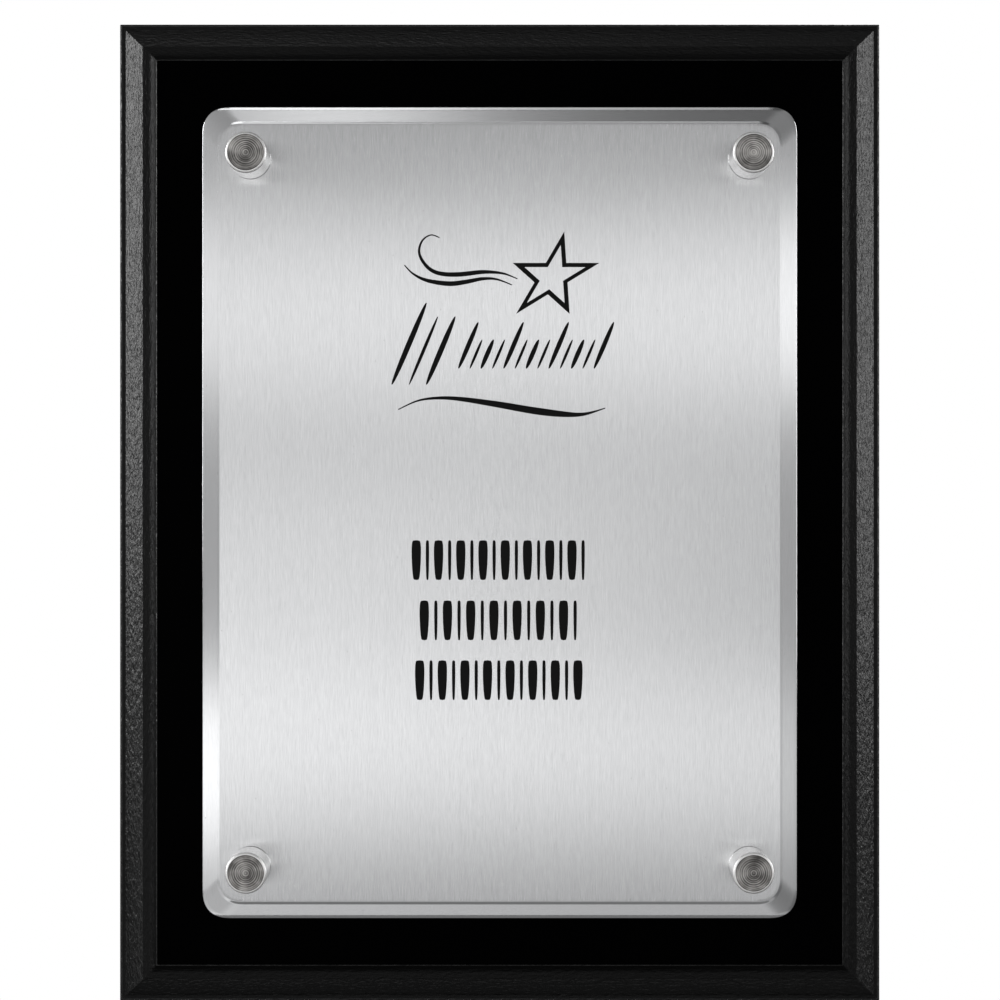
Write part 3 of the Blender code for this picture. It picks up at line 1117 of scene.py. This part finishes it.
# Lights. A curved bank in front, brighter in two long bands, gives the plate its two soft bright
# bands, and its top and foot light the bevels. Boxes beside the board light the slopes of its moulding,
# those above and below light the plate's outer edges, and one behind lights the board's back.
BANK_RADIUS = 1.10
BANK_HALF_ANGLE = math.radians(64)
BANK_STEPS = 48
BANK_HALF_HEIGHT = 1.35
BANK_LIGHT = 0.43


def make_bank():
    """The upper, lower and middle bands show in the plate's field.

    The crown and the foot show in the bevels above and below it, and the corners in the bevel's corners.
    """
    material, graph = new_finish("light_bank")
    x, y, z = object_place(graph)

    def glow(across, middle, reach, strength):
        """A band with soft sides, half as strong at its reach from the middle."""
        away = (across - middle) / reach
        square = away * away
        return strength / (1 + square * square * square)

    upper = glow(z, 0.141, 0.060, 0.78) * (1 + 0.2 * x - glow(x, 0.15, 0.13, 0.13))
    notch = glow(z, -0.085, 0.040, 0.18) * glow(x, 0.19, 0.13, 1.0)
    lower = glow(z, -0.171, 0.054, 0.76) * (1 - 0.65 * x) - notch
    middle = glow(z, -0.046, 0.078, 0.74) * glow(x, -0.16, 0.25, 1.0)
    crown = glow(z, 1.20, 0.24, 1.0) * (0.03 + glow(x, -0.145, 0.08, 0.95) - glow(x, 0.30, 0.24, 0.16))
    foot = glow(z, -1.20, 0.24, 0.22)
    corners = (1 - glow(z, 0.0, 0.29, 1.0)) * (0.112 * x * z - 0.20 * x - 0.062 * z - 0.069)
    light = graph.node("ShaderNodeEmission", sockets={
        "Color": (1, 1, 1, 1), "Strength": BANK_LIGHT + upper + lower + middle + crown + foot + corners,
    })
    graph.node("ShaderNodeOutputMaterial", sockets={"Surface": light})
    bm = bmesh.new()
    columns = []
    for i in range(BANK_STEPS + 1):
        a = BANK_HALF_ANGLE * (2 * i / BANK_STEPS - 1)
        x_side, y_front = BANK_RADIUS * math.sin(a), PLATE_FRONT_Y - BANK_RADIUS * math.cos(a)
        columns.append([bm.verts.new((x_side, y_front, side * BANK_HALF_HEIGHT)) for side in (-1, 1)])
    for (low, high), (next_low, next_high) in zip(columns, columns[1:]):
        bm.faces.new((low, next_low, next_high, high))
    bank = linked("light_bank", mesh_from(bm, "light_bank", [material]))
    bank.visible_camera = False


def make_box(name, place, target, width, height, power):
    """A soft box at place that faces the target, with its power in watts."""
    light = bpy.data.lights.new(name, "AREA")
    light.shape = "RECTANGLE"
    light.size = width
    light.size_y = height
    light.energy = power
    box = bpy.data.objects.new(name, light)
    box.location = place
    box.rotation_euler = (Vector(target) - Vector(place)).to_track_quat("-Z", "Y").to_euler()
    box.visible_camera = False
    scene.collection.objects.link(box)


make_bank()
make_box("left_box", (-1.04, -0.146, 0.27), (0, 0, 0.02), 0.45, 0.60, 5.6)
make_box("right_box", (1.04, -0.146, 0.225), (0, 0, 0.02), 0.45, 0.67, 4.4)
make_box("upper_left_box", (-0.24, -0.61, 0.995), (-0.1, 0, 0.09), 0.41, 0.145, 0.30)
make_box("upper_right_box", (0.09, -0.61, 0.995), (0, 0, 0.09), 0.25, 0.145, 0.062)
make_box("crown_box", (0, -0.06, 1.10), (0, 0, 0.10), 0.8, 0.3, 0.10)
make_box("lower_box", (0, -0.487, -0.86), (0, 0, -0.09), 0.8, 0.20, 0.07)
make_box("back_box", (0.5, 1.2, 0.7), (0, 0, 0), 0.8, 0.8, 8)


# Camera. It looks straight at the plate from just over half a metre away, as far as the sides of the
# caps show in the photograph. Its shift sets the board's place in the picture, a little low.
CAMERA_DISTANCE = 0.530
SENSOR_WIDTH = 36
FOCAL_PIXELS = 2348
PICTURE_PIXELS = 1000
CENTRE_X_PIXELS = 499.7
CENTRE_Y_PIXELS = 512.7


def make_camera():
    lens = bpy.data.cameras.new("camera")
    lens.sensor_width = SENSOR_WIDTH
    lens.lens = SENSOR_WIDTH * FOCAL_PIXELS / PICTURE_PIXELS
    lens.shift_x = (PICTURE_PIXELS / 2 - CENTRE_X_PIXELS) / PICTURE_PIXELS
    lens.shift_y = (CENTRE_Y_PIXELS - PICTURE_PIXELS / 2) / PICTURE_PIXELS
    lens.clip_start = 0.01
    camera = bpy.data.objects.new("camera", lens)
    camera.location = (0, PLATE_FRONT_Y - CAMERA_DISTANCE, 0)
    camera.rotation_euler = (math.radians(90), 0, 0)
    scene.collection.objects.link(camera)
    scene.camera = camera


make_camera()
scene.view_settings.view_transform = "Standard"
